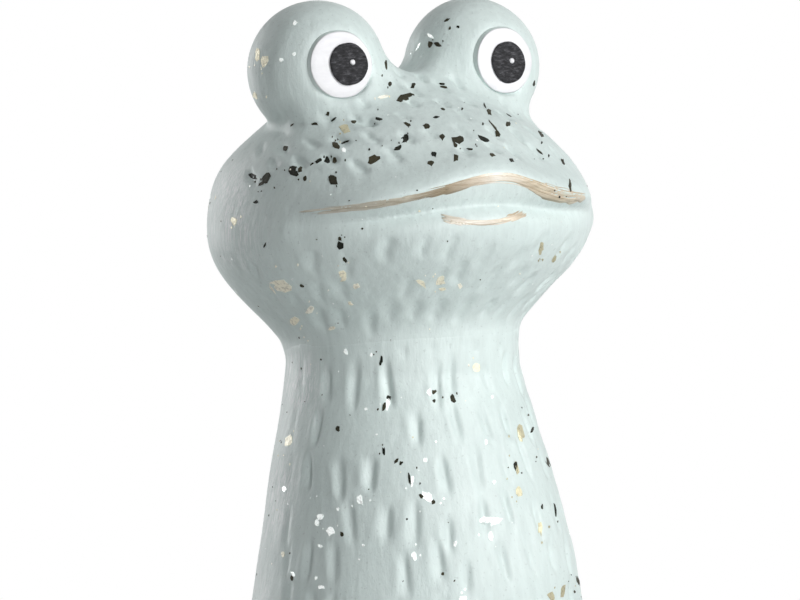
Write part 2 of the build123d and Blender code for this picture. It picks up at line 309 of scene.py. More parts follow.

# Sizes and places of the metal leaf
# A flake is its place in the picture in pixels, its length, its width and its lean to the left of upright.
# Leaf painted near-black: a painted reflection of unlit surroundings in the leaf.
DARK_REFLECTION_FLAKES = (
    (403, 98, 17, 8, -68), (294, 172, 11, 10, 10), (300, 170, 6, 5, 0), (333, 180, 10, 9, 30),
    (374, 159, 12, 7, -60), (459, 139, 14, 8, -75), (455, 145, 6, 4, 20), (405, 138, 9, 6, -20),
    (266, 178, 12, 7, -20), (262, 183, 8, 3, -55), (253, 176, 9, 4, 65), (335, 145, 9, 5, 55),
    (345, 142, 10, 2, -72), (318, 161, 7, 4, -60), (327, 160, 7, 5, 0), (335, 160, 8, 5, 10),
    (312, 164, 4, 2, -50), (324, 157, 3, 2, 0), (305, 179, 5, 4, -20), (285, 148, 5, 5, 0),
    (328, 114, 5, 4, 0), (334, 119, 7, 2, -55), (315, 124, 6, 3, 90), (292, 125, 5, 2, -60),
    (354, 122, 5, 3, 90), (379, 119, 8, 3, 80), (390, 84, 4, 3, 0), (413, 86, 6, 4, -25),
    (407, 124, 8, 3, 60), (398, 148, 8, 4, -55), (426, 126, 7, 5, 85), (436, 117, 6, 3, 90),
    (443, 109, 5, 2, 75), (442, 137, 6, 5, 0), (434, 154, 6, 5, 20), (431, 163, 7, 6, 40),
    (456, 158, 7, 6, 0), (470, 149, 6, 2, 85), (484, 139, 12, 5, 60), (494, 127, 18, 2, 38),
    (498, 134, 7, 5, 25), (489, 112, 7, 4, 30), (485, 106, 7, 1.5, 25), (492, 155, 6, 3, 70),
    (511, 160, 6, 3, 50), (540, 152, 8, 2, 48), (541, 134, 8, 3, 40), (508, 124, 5, 4, 10),
    (563, 162, 7, 2.5, 20), (570, 185, 13, 3, 0), (462, 109, 3, 2, 0), (447, 20, 6, 3, -60),
    (450, 28, 4, 3, 0), (458, 27, 3, 3, 0), (438, 45, 8, 5, 70), (430, 44, 7, 5, -30),
    (444, 87, 7, 2, 80), (442, 84, 6, 2, 85), (534, 84, 6, 2, -10), (386, 65, 9, 2.5, 5),
    (341, 245, 8, 7, 0), (340, 239, 4, 4, 0), (345, 260, 6, 3, 35), (302, 286, 4, 3, 50),
    (265, 245, 5, 2, -20), (256, 202, 5, 3, -70), (381, 361, 9, 3, -5), (384, 407, 8, 4, -15),
    (389, 398, 5, 4, 40), (338, 429, 5, 4, 0), (384, 451, 8, 3, 10), (396, 461, 6, 3, -35),
    (401, 463, 4, 3, -40), (434, 392, 5, 5, 50), (434, 401, 4, 3, 0), (453, 399, 8, 4, 20),
    (410, 480, 13, 2.5, 10), (421, 496, 5, 4, 60), (433, 502, 5, 4, 0), (342, 534, 6, 4, 20),
    (292, 578, 5, 3, 0), (443, 574, 3, 3, 0), (531, 406, 8, 4, 20), (536, 418, 9, 2, 22),
    (516, 466, 10, 4, 12), (548, 462, 11, 3, 15), (555, 509, 14, 2, 8), (542, 507, 6, 2, 5),
    (578, 581, 10, 3, 18), (532, 430, 7, 3, -10),
)
# Gold leaf for flakes mostly on the shaded side, its tone brightened: a painted reflection.
SHADE_SIDE_GOLD_FLAKES = (
    (281, 286, 23, 14, 80), (343, 275, 11, 10, 0), (356, 286, 7, 5, 90), (350, 303, 6, 3, 60),
    (310, 310, 9, 6, -60), (294, 322, 10, 8, -70), (332, 328, 7, 5, 90), (234, 222, 8, 6, 0),
    (422, 283, 11, 6, 50), (441, 281, 11, 8, -30), (443, 289, 7, 4, 90), (460, 286, 6, 5, 0),
    (264, 61, 14, 8, 0), (258, 54, 13, 5, -10), (255, 95, 9, 4, 15), (383, 97, 10, 4, -70),
    (288, 441, 12, 7, -10), (476, 367, 9, 7, 0), (283, 554, 6, 3, 0),
)
# Darker copy of the gold leaf for flakes mostly on the lit side: painted shade.
LIT_SIDE_GOLD_FLAKES = (
    (541, 248, 11, 4, -8), (554, 259, 9, 3, -25), (345, 128, 12, 8, 50), (520, 431, 17, 7, 12),
    (519, 491, 10, 6, 15), (517, 468, 13, 4, 10), (540, 528, 15, 4, 8), (563, 590, 15, 5, -5),
    (551, 596, 10, 6, 20),
)
# Leaf painted near-white: a painted highlight on the leaf.
HIGHLIGHT_FLAKES = (
    (388, 403, 13, 5, -8), (346, 352, 6, 4, 10), (371, 355, 4, 3, 0), (366, 409, 3, 3, 0),
    (429, 392, 6, 4, 0), (428, 497, 13, 9, 25), (490, 520, 20, 8, 88), (491, 536, 9, 4, 0),
    (360, 500, 11, 7, 0), (320, 517, 7, 6, -40), (317, 523, 7, 4, -15), (330, 531, 11, 8, 10),
    (320, 546, 6, 3, 80), (293, 574, 6, 4, 30), (316, 578, 4, 3, 0), (321, 587, 7, 4, 80),
    (284, 489, 5, 4, 30), (412, 481, 10, 4, -5), (414, 556, 9, 6, 30), (455, 544, 6, 4, -20),
    (494, 482, 4, 3, 0), (486, 442, 5, 3, 0), (425, 460, 5, 4, 0), (338, 509, 3, 3, 0),
    (363, 545, 3, 3, 0), (281, 60, 5, 4, 0), (295, 23, 5, 4, -30), (294, 54, 4, 3, 0),
    (430, 36, 7, 3, 60), (418, 47, 8, 2, -25), (463, 598, 8, 4, 90), (492, 397, 4, 3, 0),
    (344, 150, 5, 4, 50),
)
# A kind of leaf is its placed flakes, its count of loose ones, two tones, roughness, gloss and metal. All
# kinds are one gold leaf whose tones are painted light and shade: near-black as a painted reflection of unlit
# surroundings, brightened on the shaded side, near-white as a painted highlight, darkened on the lit side.
LEAF = {
    "dark_reflection": (DARK_REFLECTION_FLAKES, 150, (0.010, 0.013, 0.010), (0.060, 0.054, 0.032), 0.45, 0.12, 0.0),
    "gold": (SHADE_SIDE_GOLD_FLAKES, 70, (0.90, 0.85, 0.64), (1.0, 0.98, 0.86), 0.35, 0.5, 0.25),
    "pale": (HIGHLIGHT_FLAKES, 130, (0.93, 0.98, 0.96), (0.97, 1.0, 0.99), 0.3, 0.6, 0.8),
    "lit_side_gold": (LIT_SIDE_GOLD_FLAKES, 20, (0.44, 0.41, 0.27), (0.64, 0.60, 0.42), 0.35, 0.5, 0.6),
}
FLAKE_POINTS = 9
FLAKE_LIFT = 0.09
FLAKE_SINK = 0.3
FLAKE_STRETCH = 4
FLAKE_TURN_SPREAD = 0.3
FLAKE_REACH = (0.65, 1.35)
CRUMBS = 2
CRUMB_LENGTH = 8
CRUMB_REACH = (0.6, 1.3)
CRUMB_SIZE = (1.2, 2.6)
CRUMB_WIDTH = 0.7
LOOSE_LEVELS = (14, 268)
LOOSE_ASIDE = 22.0
LOOSE_SEEN_TURN = 85
LOOSE_SEEN_SIZE = (0.4, 0.8)
LOOSE_LEAST_SIZE = 0.9
LOOSE_SIZE_SPREAD = (1.5, 0.55)
LOOSE_WIDTHS = (0.45, 1)

rng = np.random.default_rng(SEED)


# Small helpers
def smooth_step(low, high, value):
    t = np.clip((value - low) / (high - low), 0.0, 1.0)
    return t * t * (3 - 2 * t)


def bell(value, spread):
    return np.exp(-0.5 * (value / spread) ** 2)


def bulge(level, size, at, spread):
    return size * bell(level - at, spread)


def soft_union(a, b, blend):
    h = np.maximum(blend - np.abs(a - b), 0) / blend
    return np.minimum(a, b) - h * h * blend / 4


def smooth_rows(values, spread):
    """Gaussian smoothing of a row, with its ends mirrored."""
    size = int(4 * spread)
    kernel = bell(np.arange(-size, size + 1), spread)
    kernel /= kernel.sum()
    padded = np.pad(values, size, mode="reflect", reflect_type="odd")
    return np.convolve(padded, kernel, mode="valid")


def wobble(points, seed, wavelength):
    """Smooth seeded unevenness of a skin made by hand."""
    draws = np.random.default_rng(seed)
    directions = draws.normal(size=(WOBBLE_WAVES, 3))
    directions /= np.linalg.norm(directions, axis=1)[:, None]
    pitch = wavelength * draws.uniform(*WOBBLE_PITCHES, WOBBLE_WAVES)
    phase = draws.uniform(0, 2 * math.pi, WOBBLE_WAVES)
    waves = np.sin(2 * math.pi * (points @ directions.T) / pitch + phase)
    return WOBBLE * waves.sum(-1) / math.sqrt(WOBBLE_WAVES)


def read_vectors(mesh, kind):
    """Places ("co") or normals ("normal") of a mesh's vertices."""
    flat = np.empty(len(mesh.vertices) * 3)
    mesh.vertices.foreach_get(kind, flat)
    return flat.reshape(-1, 3)


def node_points(name):
    return read_vectors(nodes[name].data, "co") / MM


def flat_frame(name, toward):
    """Centre, normal, radius and half thickness of a flat round CAD node, its normal on the given side."""
    points = node_points(name)
    axes = np.linalg.svd(points - points.mean(0), full_matrices=False)[2]
    along = points @ axes.T
    centre = (along.min(0) + along.max(0)) / 2 @ axes
    half = (along.max(0) - along.min(0)) / 2
    normal = axes[2] if axes[2] @ toward > 0 else -axes[2]
    return centre, normal, (half[0] + half[1]) / 2, half[2]


def join_parts(parts):
    """One vertex list and one face list from several."""
    vertices, faces, first = [], [], 0
    for part_vertices, part_faces in parts:
        vertices.append(part_vertices)
        faces += [[v + first for v in face] for face in part_faces]
        first += len(part_vertices)
    return np.concatenate(vertices), faces


def surface_tree(*holders):
    """Tree for ray casts on the meshes of nodes or pieces."""
    parts = []
    for holder in holders:
        parts.append((read_vectors(holder.data, "co"), [p.vertices for p in holder.data.polygons]))
    vertices, faces = join_parts(parts)
    return BVHTree.FromPolygons(vertices.tolist(), faces)


def cast(tree, start, direction):
    """Point, in millimetres, and normal where a ray first meets a surface, or None twice."""
    hit, normal = tree.ray_cast(Vector(start) * MM, Vector(direction))[:2]
    return (None, None) if hit is None else (np.array(hit) / MM, np.array(normal))


def direction_of(azimuth_degrees, elevation_degrees):
    """Unit vector away from the figure, by degrees from straight ahead to its left and upwards."""
    turn = math.radians(azimuth_degrees)
    tilt = math.radians(elevation_degrees)
    return Vector((math.sin(turn) * math.cos(tilt), -math.cos(turn) * math.cos(tilt), math.sin(tilt)))


def make_piece(name, vertices, faces, material, slot, replaced=(), smooth=True):
    """Mesh piece in the frame, riding on the figure."""
    mesh = bpy.data.meshes.new(name)
    mesh.from_pydata((np.asarray(vertices) * MM).tolist(), [], [list(map(int, face)) for face in faces])
    mesh.validate()
    if smooth:
        mesh.shade_smooth()
    mesh.materials.append(material)
    piece = bpy.data.objects.new(name, mesh)
    bpy.context.scene.collection.objects.link(piece)
    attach(piece, "root")
    if replaced:
        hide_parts(*replaced)
    return piece


def close_tube(layers):
    """Vertices and faces of stacked rings, capped at both ends."""
    count, columns = layers.shape[:2]
    ring = np.arange(columns)
    after = np.roll(ring, -1)
    faces = []
    for layer in range(count - 1):
        low = layer * columns
        high = low + columns
        faces.append(np.stack([low + ring, low + after, high + after, high + ring], 1))
    vertices = layers.reshape(-1, 3)
    ends = np.array([layers[0].mean(0), layers[-1].mean(0)])
    first = len(vertices)
    last = (count - 1) * columns
    caps = [(first, right, left) for left, right in zip(ring, after)]
    caps += [(first + 1, last + left, last + right) for left, right in zip(ring, after)]
    return np.concatenate([vertices, ends]), list(np.concatenate(faces)) + caps


# Head frame: origin at the collar, x to the frog's left, y to its back, z up its own axis
collar_centre, collar_up, _, slip_half = flat_frame("neck_slip_joint", UPWARD)
head_origin = collar_centre + collar_up * slip_half
head_x = np.array([1.0, 0.0, 0.0])
head_axes = np.array([head_x, np.cross(collar_up, head_x), collar_up])


def to_head(points):
    return (points - head_origin) @ head_axes.T


def from_head(points):
    return points @ head_axes + head_origin


def azimuth(local):
    """Degrees about the head's axis: 0 straight ahead, positive to the frog's left."""
    return np.degrees(np.arctan2(local[..., 0], -local[..., 1]))


# Head profile, read from the CAD head as a distance from its middle for each polar angle
head_shell_points = to_head(node_points("head_shell"))
head_reach = np.hypot(head_shell_points[:, 0], head_shell_points[:, 1])
head_middle = head_shell_points[head_reach > HEAD_WIDEST * head_reach.max(), 2].mean()
collar_edge = head_reach[head_shell_points[:, 2] < COLLAR_BAND].max()


def read_head_profile():
    """Polar angles and the trimmed reach of the head at each, carried on below the collar as a tube."""
    tree = surface_tree(nodes["head_shell"])
    angles = np.linspace(0, math.pi, PROFILE_STEPS)
    middle = np.array([0, 0, head_middle])
    reach = []
    for angle in angles:
        outward = np.array([0, math.sin(angle), math.cos(angle)])
        hit = cast(tree, from_head(middle + FAR * outward), -(outward @ head_axes))[0]
        local = None if hit is None else to_head(hit)
        if local is None or local[2] < PROFILE_SMOOTHING:
            reach.append(collar_edge / max(math.sin(angle), PROFILE_LEAST_SINE))
        else:
            reach.append(np.linalg.norm(local - middle))
    trim = np.interp(np.degrees(angles), PROFILE_TRIM_ANGLES, PROFILE_TRIM)
    return angles, smooth_rows(np.array(reach), PROFILE_SMOOTHING) + smooth_rows(trim, 3 * PROFILE_SMOOTHING)


profile_angles, profile_reach = read_head_profile()


# Ball eyes
class Eye:
    """Ball eye in the head's frame, read from the CAD disc that faces its front."""

    def __init__(self, side):
        self.side = side
        box_low, box_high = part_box("eye_bulb_" + side)
        self.half_width = (box_high.x - box_low.x) / 2 / MM
        self.half_depth = EYE_DEPTH / 2
        centre, self.normal, self.disc_radius, disc_half = flat_frame("eye_disc_" + side, FORWARD)
        self.disc_back = centre - self.normal * disc_half
        self.disc_front = centre + self.normal * disc_half
        self.seat = self.half_depth * math.sqrt(1 - (self.disc_radius / self.half_width) ** 2)
        self.centre = to_head(self.disc_back - self.normal * self.seat)
        self.facing = head_axes @ self.normal

    def split(self, local):
        """Distances from the ball's middle, along the way it faces and aside from that."""
        offset = local - self.centre
        axial = offset @ self.facing
        return axial, np.sqrt(np.maximum((offset ** 2).sum(-1) - axial ** 2, 0))

    def ball(self, axial, radial):
        """Signed distance to the ball, near its surface."""
        near = np.hypot(radial / self.half_width, axial / self.half_depth)
        slope = np.hypot(radial / self.half_width ** 2, axial / self.half_depth ** 2)
        return near * (near - 1) / np.maximum(slope, TINY)

    def disc_space(self, axial, radial):
        """Signed distance to the room in front of the disc's seat, negative inside it."""
        return np.maximum(radial - self.disc_radius - DISC_CLEAR, self.seat + DISC_SEAT_RISE - axial)


eyes = [Eye("right"), Eye("left")]


# Plain forms of head and body, as signed distances that are negative inside
def body_ovals():
    """Levels from base to neck, and the CAD body's half width, half depth and centre at each."""
    tree = surface_tree(nodes["body_shell"])
    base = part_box("body_shell")[0].z / MM
    neck = head_origin[2] - collar_edge * math.sin(math.acos(collar_up[2])) - NECK_CLEAR
    levels = np.linspace(base + BASE_CLEAR, neck, BODY_LEVELS)
    ovals = []
    for level in levels:
        front = cast(tree, (0, -FAR, level), (0, 1, 0))[0][1]
        back = cast(tree, (0, FAR, level), (0, -1, 0))[0][1]
        middle = (front + back) / 2
        side = cast(tree, (FAR, middle, level), (-1, 0, 0))[0][0]
        ovals.append((side, (back - front) / 2, middle))
    return levels, np.array(ovals)


body_levels, body_shape = body_ovals()


def body_field(points):
    """Rough distance to the plain body near its neck."""
    level = points[..., 2]
    half_width, half_depth, middle = (np.interp(level, body_levels, body_shape[:, i]) for i in range(3))
    forward = middle - bulge(level, *BODY_FORWARD)
    near = np.hypot(points[..., 0] / half_width, (points[..., 1] - forward) / half_depth)
    return (near - 1) * np.minimum(half_width, half_depth)


def head_form(local):
    """Distance to the head with its eyes luted on."""
    rise = local - np.array([0, 0, head_middle])
    rise[..., 1] += bulge(local[..., 2], *HEAD_FORWARD)
    rise[..., 0] -= bulge(local[..., 2], *HEAD_ASIDE)
    reach = np.linalg.norm(rise, axis=-1)
    polar = np.arccos(np.clip(rise[..., 2] / np.maximum(reach, TINY), -1, 1))
    field = reach - np.interp(polar, profile_angles, profile_reach)
    crown = EYE_BLEND_CROWN * (1 - smooth_step(*EYE_CROWN_FADE, np.abs(local[..., 0])))
    splits = [eye.split(local) for eye in eyes]
    for eye, (axial, radial) in zip(eyes, splits):
        blend = EYE_BLEND_SIDE + EYE_BLEND_FRONT * smooth_step(*EYE_FRONT_FADE, axial) + crown
        front = smooth_step(*SOCKET_FADE, axial)
        socket = SOCKET_RIM * bell(radial - eye.disc_radius - SOCKET_RIM_GAP, SOCKET_RIM_SPREAD)
        field = soft_union(field, eye.ball(axial, radial) + EYE_TRIM * (1 - front) - socket * front, blend)
    for eye, split in zip(eyes, splits):
        field = -soft_union(-field, eye.disc_space(*split), DISC_CLEAR_BLEND)
    return field


def head_field(local):
    """Distance to the head's skin, whose neck end runs down just inside the body."""
    field = head_form(local)
    low = local[..., 2] < 2 * NECK_STUB
    oval = body_field(from_head(local[low]))
    field[low] = soft_union(field[low], oval, NECK_BLEND) + NECK_SINK * np.maximum(-local[low][:, 2], 0)
    return np.maximum(field, -NECK_STUB - local[..., 2])


def field_slope(field, points, width=0.2):
    slope = np.empty_like(points)
    for axis in range(3):
        shift = np.zeros(3)
        shift[axis] = width
        slope[:, axis] = (field(points + shift) - field(points - shift)) / (2 * width)
    return slope


def settle(field, points, passes):
    """Moves points onto the zero surface of a field."""
    for _ in range(passes):
        slope = field_slope(field, points)
        points = points - (field(points) / (slope ** 2).sum(1))[:, None] * slope
    return points


def surface_net(values, low, step):
    """Quad mesh of the zero surface of a sampled field."""
    inside = values < 0
    cells_shape = np.array(values.shape) - 1
    corners = [(i, j, k) for i in (0, 1) for j in (0, 1) for k in (0, 1)]
    count = np.zeros(cells_shape, np.int8)
    for i, j, k in corners:
        count += inside[i:i + cells_shape[0], j:j + cells_shape[1], k:k + cells_shape[2]]
    active = (count > 0) & (count < len(corners))
    cells = np.argwhere(active)
    index = np.full(cells_shape, -1)
    index[active] = np.arange(len(cells))
    total = np.zeros((len(cells), 3))
    hits = np.zeros(len(cells))
    for axis in range(3):
        for corner in corners:
            if corner[axis]:
                continue
            start = cells + corner
            end = start.copy()
            end[:, axis] += 1
            first = values[tuple(start.T)]
            last = values[tuple(end.T)]
            crossed = (first < 0) != (last < 0)
            point = np.tile(np.array(corner, float), (len(cells), 1))
            point[crossed, axis] = first[crossed] / (first[crossed] - last[crossed])
            total[crossed] += point[crossed]
            hits[crossed] += 1
    vertices = low + step * (cells + total / hits[:, None])
    quads = []
    for axis in range(3):
        along, u, v = np.roll(np.eye(3, dtype=int), -axis, 0)
        spots = np.argwhere(inside != np.roll(inside, -1, axis))
        keep = (spots + along < np.array(values.shape)).all(1) & ((spots - u - v) >= 0).all(1)
        spots = spots[keep]
        ring = np.stack([index[tuple((spots + shift).T)] for shift in (-u - v, -v, 0 * u, -u)], 1)
        outward = inside[tuple(spots.T)]
        ring[~outward] = ring[~outward][:, ::-1]
        quads.append(ring)
    return vertices, np.concatenate(quads)


# Marks of the modelling tool
def add_marks(turn, along, girth, marks):
    """Depth map of tool marks."""
    depth = np.zeros(turn.shape)
    for mark in marks:
        side = ((turn - mark["turn"] + math.pi) % (2 * math.pi) - math.pi) * girth
        rise = along - mark["along"]
        reach = 3 * mark["half_width"] + mark["half_length"]
        near = (np.abs(side) < reach) & (np.abs(rise) < reach)
        lean = math.radians(mark["lean"])
        across = side[near] * math.cos(lean) + rise[near] * math.sin(lean)
        run = (rise[near] * math.cos(lean) - side[near] * math.sin(lean)) / mark["half_length"]
        gap = across / (mark["half_width"] * np.maximum(1 + mark["flare"] * run, MARK_LEAST_FLARE))
        gap = gap * np.where(gap > 0, MARK_STEEPNESS, 1)
        ends = smooth_step(0, MARK_ENDS, 1 - np.abs(run))
        rim = MARK_RIM * np.exp(-((gap + MARK_RIM_PLACE) / MARK_RIM_SPREAD) ** 2)
        depth[near] += mark["depth"] * ends * (rim - np.exp(-gap ** 2))
    return depth


def mark_rows(rows, pitch, size, lean, depth, jitter, twist=0.0):
    """Staggered rows of seeded marks all round. A row is its height and the girth there per radian."""
    marks = []
    for row, (along, girth) in enumerate(rows):
        count = max(1, round(2 * math.pi * girth / pitch))
        for place in range(count):
            degrees = -180 + 360 * (place + 0.5 * (row % 2)) / count
            if rng.uniform() > MARK_CHANCE:
                continue
            seam = smooth_step(*SEAM_START, abs(degrees)) * (1 - smooth_step(*SEAM_END, abs(degrees)))
            low, high = MARK_TWIST_LIMITS
            upright = smooth_step(*MARK_LEAN_FADE, abs(degrees))
            tilt = (lean + twist * min(max(degrees, low), high)) * (1 - upright)
            marks.append({
                "turn": math.radians(degrees) + rng.normal(0, MARK_TURN_SPREAD * pitch) / girth,
                "along": along + rng.normal(0, jitter),
                "half_width": size[0] * rng.uniform(*MARK_WIDTHS),
                "half_length": size[1] * rng.uniform(*MARK_LENGTHS),
                "lean": tilt + rng.normal(0, MARK_LEAN_SPREAD),
                "flare": rng.uniform(*MARK_FLARES),
                "depth": depth * rng.uniform(*MARK_DEPTHS) * (1 - SEAM_EASE * seam),
            })
    return marks


# Mouth
def peaked(turn, spreads):
    """Rounded peak, of one spread to the frog's right and another to its left."""
    return bell(turn, np.where(turn < 0, *spreads))


def lip_line(turn):
    return LIP_LEVEL + LIP_PEAK * peaked(turn - LIP_PEAK_TURN, LIP_PEAK_SPREAD)


def crease_line(turn):
    return CREASE_LEVEL + CREASE_PEAK * peaked(turn, CREASE_PEAK_SPREAD)


def mouth_relief(local):
    """How far the lips stand out of, and the crease sinks into, the plain head."""
    turn = azimuth(local)
    level = local[:, 2]
    crest = lip_line(turn)
    crease = np.minimum(crease_line(turn), crest - LIP_LEAST_HEIGHT)
    over = LIP_PROUD * bell(level - crest, LIP_FALL)
    under = (crest - level) / (crest - crease)
    slope = LIP_PROUD - (LIP_PROUD + CREASE_DEPTH) * np.clip(under, 0, 1) ** LIP_UNDERCUT
    lower = LOWER_LIP_PROUD * bell(turn, LOWER_LIP_SPREAD)
    lower = lower * bell(level - crease + LOWER_LIP_DROP, LOWER_LIP_FALL)
    climb = 1 - np.clip(1 - (crease - level) / CREASE_LEDGE, 0, 1) ** CREASE_CLIMB
    below = (1 - climb) * -CREASE_DEPTH + climb * lower
    relief = np.where(level > crest, over, np.where(level > crease, slope, below))
    corner_turn, corner_level = MOUTH_CORNER
    aside = np.radians(np.abs(turn) - corner_turn) * head_reach.max()
    lump = bell(aside, MOUTH_CORNER_SPREAD) * bell(level - corner_level, MOUTH_CORNER_SPREAD)
    return (1 - smooth_step(*MOUTH_FADE, np.abs(turn))) * relief + MOUTH_CORNER_PROUD * lump


# Head skin
def head_marks(local):
    """Depth map of the strokes on the chin and the dabs on the brow."""
    turn = np.radians(azimuth(local))
    level = local[:, 2]
    reach = np.hypot(local[:, 0], local[:, 1])
    rows = [(row, collar_edge * CHIN_GIRTH) for row in CHIN_ROWS]
    chin = add_marks(turn, level, reach, mark_rows(rows, **CHIN_MARKS))
    chin *= 1 - smooth_step(*CHIN_FADE, level)
    arc = head_reach.max() * BROW_GIRTH
    polar = np.arctan2(reach, level - head_middle)
    rows = [(arc * math.radians(row), arc * math.sin(math.radians(row))) for row in BROW_ROWS]
    brow = add_marks(turn, arc * polar, arc * np.sin(polar), mark_rows(rows, **BROW_MARKS))
    return chin + brow * smooth_step(*BROW_FADE, level - lip_line(np.degrees(turn)))


def head_skin():
    """Vertices and faces of the head, eyes and lips as one slip-smoothed skin."""
    reach = head_reach.max() + HEAD_MARGIN
    top = max(eye.centre[2] + eye.half_width for eye in eyes) + HEAD_MARGIN
    axis = np.arange(-reach, reach, HEAD_STEP)
    rise = np.arange(-NECK_STUB - HEAD_FOOT_STEPS * HEAD_STEP, top, HEAD_STEP)
    grid = np.stack(np.meshgrid(axis, axis, rise, indexing="ij"), -1)
    local, quads = surface_net(head_field(grid), grid[0, 0, 0], HEAD_STEP)
    local = settle(head_field, local, SETTLE_PASSES)
    slope = field_slope(head_field, local, HEAD_NORMAL_WIDTH)
    normal = slope / np.linalg.norm(slope, axis=1)[:, None]
    ball = np.min([eye.ball(*eye.split(local)) for eye in eyes], axis=0)
    above = smooth_step(*HEAD_NECK_FADE, local[:, 2])
    relief = smooth_step(*HEAD_EYE_FADE, ball) * above * (mouth_relief(local) + head_marks(local))
    relief += wobble(local, SEED + 1, HEAD_WOBBLE_LENGTH) * above
    return from_head(local + relief[:, None] * normal), quads


# Body skin
def body_marks(turn, along, girth):
    """Depth map of the long staggered strokes on the body."""
    levels = np.arange(along[0, 0] + BODY_FIRST_ROW, along[-1, 0], BODY_ROW)
    rows = [(level, np.interp(level, along[:, 0], girth)) for level in levels]
    return add_marks(turn, along, girth[:, None], mark_rows(rows, **BODY_MARKS))


def neck_meeting(points):
    """Distance to the filleted meeting of body and head."""
    return soft_union(head_form(to_head(points)), body_field(points), NECK_BLEND)


def body_skin():
    """Vertices and faces of the body: closed, with a vent under it and its neck tucked into the head."""
    base = body_levels[0]
    roll = base + BASE_HEIGHT * np.linspace(0, 1, BASE_RINGS) ** BASE_EASE
    wall = np.linspace(base + BASE_HEIGHT, head_origin[2] + NECK_TUCK, BODY_RINGS - BASE_RINGS + 1)
    rings = np.concatenate([roll, wall[1:]])
    smooth = np.stack([smooth_rows(body_shape[:, i], BODY_SMOOTHING) for i in range(3)], 1)
    smooth[:BODY_SHARP_LEVELS] = body_shape[:BODY_SHARP_LEVELS]
    half_width, half_depth, middle = (np.interp(rings, body_levels, smooth[:, i]) for i in range(3))
    turn = np.linspace(-math.pi, math.pi, BODY_COLUMNS, endpoint=False)
    across, along = np.meshgrid(turn, rings)
    aside = half_width[:, None] * np.sin(across)
    backward = middle[:, None] - half_depth[:, None] * np.cos(across)
    skin = np.stack([aside, backward, along], -1)
    normal = np.cross(np.roll(skin, -1, 1) - np.roll(skin, 1, 1), np.gradient(skin, axis=0))
    normal /= np.linalg.norm(normal, axis=-1)[..., None]
    skin[..., 1] -= bulge(along, *BODY_FORWARD)
    local = to_head(skin)
    gap = np.maximum(head_form(local), 0)
    relief = body_marks(across, along, (half_width + half_depth) / 2)
    relief *= smooth_step(*BODY_MARK_FADE, along - base) * smooth_step(*NECK_MARK_FADE, gap)
    relief -= NECK_SINK * np.maximum(local[..., 2], 0)
    near = (gap < NECK_REACH * NECK_BLEND) & (local[..., 2] < NECK_RISE)
    skin[near] = settle(neck_meeting, skin[near], NECK_PASSES)
    relief += wobble(skin, SEED + 2, BODY_WOBBLE_LENGTH) * smooth_step(*NECK_WOBBLE_FADE, gap)
    skin = skin + relief[..., None] * normal
    centre = np.array([0, middle[0], base])
    spoke = np.stack([np.sin(turn), -np.cos(turn), 0 * turn], -1)
    inner = BASE_INNER * np.array([half_width[0], half_depth[0], 0])
    under = [centre + reach * spoke + (0, 0, lift) for reach, lift in (
        (VENT_RADIUS, VENT_DEPTH), (VENT_RADIUS, VENT_CHAMFER), (VENT_RADIUS + VENT_CHAMFER, 0), (inner, 0))]
    return close_tube(np.concatenate([np.array(under), skin]))


# Limbs
def round_haunch(name, points, normals):
    """Gives the cheek of a thigh the even swell of an oval."""
    source = node_points(name)
    pole = source[np.argmax(np.abs(source[:, 0]))]
    hand = np.sign(pole[0])
    reach = np.hypot(points[:, 1] - pole[1], points[:, 2] - pole[2])
    rise = np.sqrt(np.clip(1 - (reach / HAUNCH_RADIUS) ** 2, 0, 1))
    cheek = pole[0] - hand * HAUNCH_SWELL * (1 - rise)
    share = (1 - smooth_step(*HAUNCH_CHEEK, reach)) * (hand * normals[:, 0] > HAUNCH_FACING)
    points[:, 0] += share * (cheek - points[:, 0])


def bake_modifiers(piece):
    """Leaves a piece with its modified mesh and no modifiers."""
    graph = bpy.context.evaluated_depsgraph_get()
    mesh = bpy.data.meshes.new_from_object(piece.evaluated_get(graph))
    piece.modifiers.clear()
    piece.data = mesh
    mesh.shade_smooth()


def limb_skin(name):
    """The CAD limb, rooted a little way into the body and smoothed as clay is by hand."""
    source = node_points(name)
    faces = [list(p.vertices) for p in nodes[name].data.polygons]
    inward = np.array([0.0, head_origin[1], 0.0]) - source.mean(0)
    inward[2] = 0
    inward *= LIMB_ROOT / np.linalg.norm(inward)
    form = join_parts([(source, faces), (source + inward, faces)])
    piece = make_piece(name + "_skin", *form, ceramic, "mint_ceramic", (name,))
    remesh = piece.modifiers.new("clay", "REMESH")
    remesh.mode = "VOXEL"
    remesh.voxel_size = LIMB_VOXEL * MM
    soften = piece.modifiers.new("soften", "SMOOTH")
    soften.factor = LIMB_SOFTNESS
    soften.iterations = LIMB_SMOOTHING
    bake_modifiers(piece)
    points = read_vectors(piece.data, "co") / MM
    normals = read_vectors(piece.data, "normal")
    if name.startswith("haunch"):
        round_haunch(name, points, normals)
    points += wobble(points, SEED + 3, LIMB_WOBBLE_LENGTH)[:, None] * normals
    piece.data.vertices.foreach_set("co", (points * MM).ravel())
    piece.data.update()


# Shader nodes
def feed(tree, node, inputs):
    """Links or sets a node's inputs, by name or number."""
    for key, value in inputs.items():
        socket = node.inputs[key]
        if isinstance(value, bpy.types.NodeSocket):
            tree.links.new(value, socket)
        else:
            socket.default_value = (*value, 1) if socket.type == "RGBA" else value


def add_node(tree, kind, inputs=None, **settings):
    node = tree.nodes.new("ShaderNode" + kind)
    for name, value in settings.items():
        setattr(node, name, value)
    feed(tree, node, inputs or {})
    return node


def place_in(tree, space="Object"):
    return add_node(tree, "TexCoord").outputs[space]


def axes_of(tree, vector):
    return add_node(tree, "SeparateXYZ", {"Vector": vector}).outputs


def arithmetic(tree, operation, *values):
    return add_node(tree, "Math", dict(enumerate(values)), operation=operation).outputs["Value"]


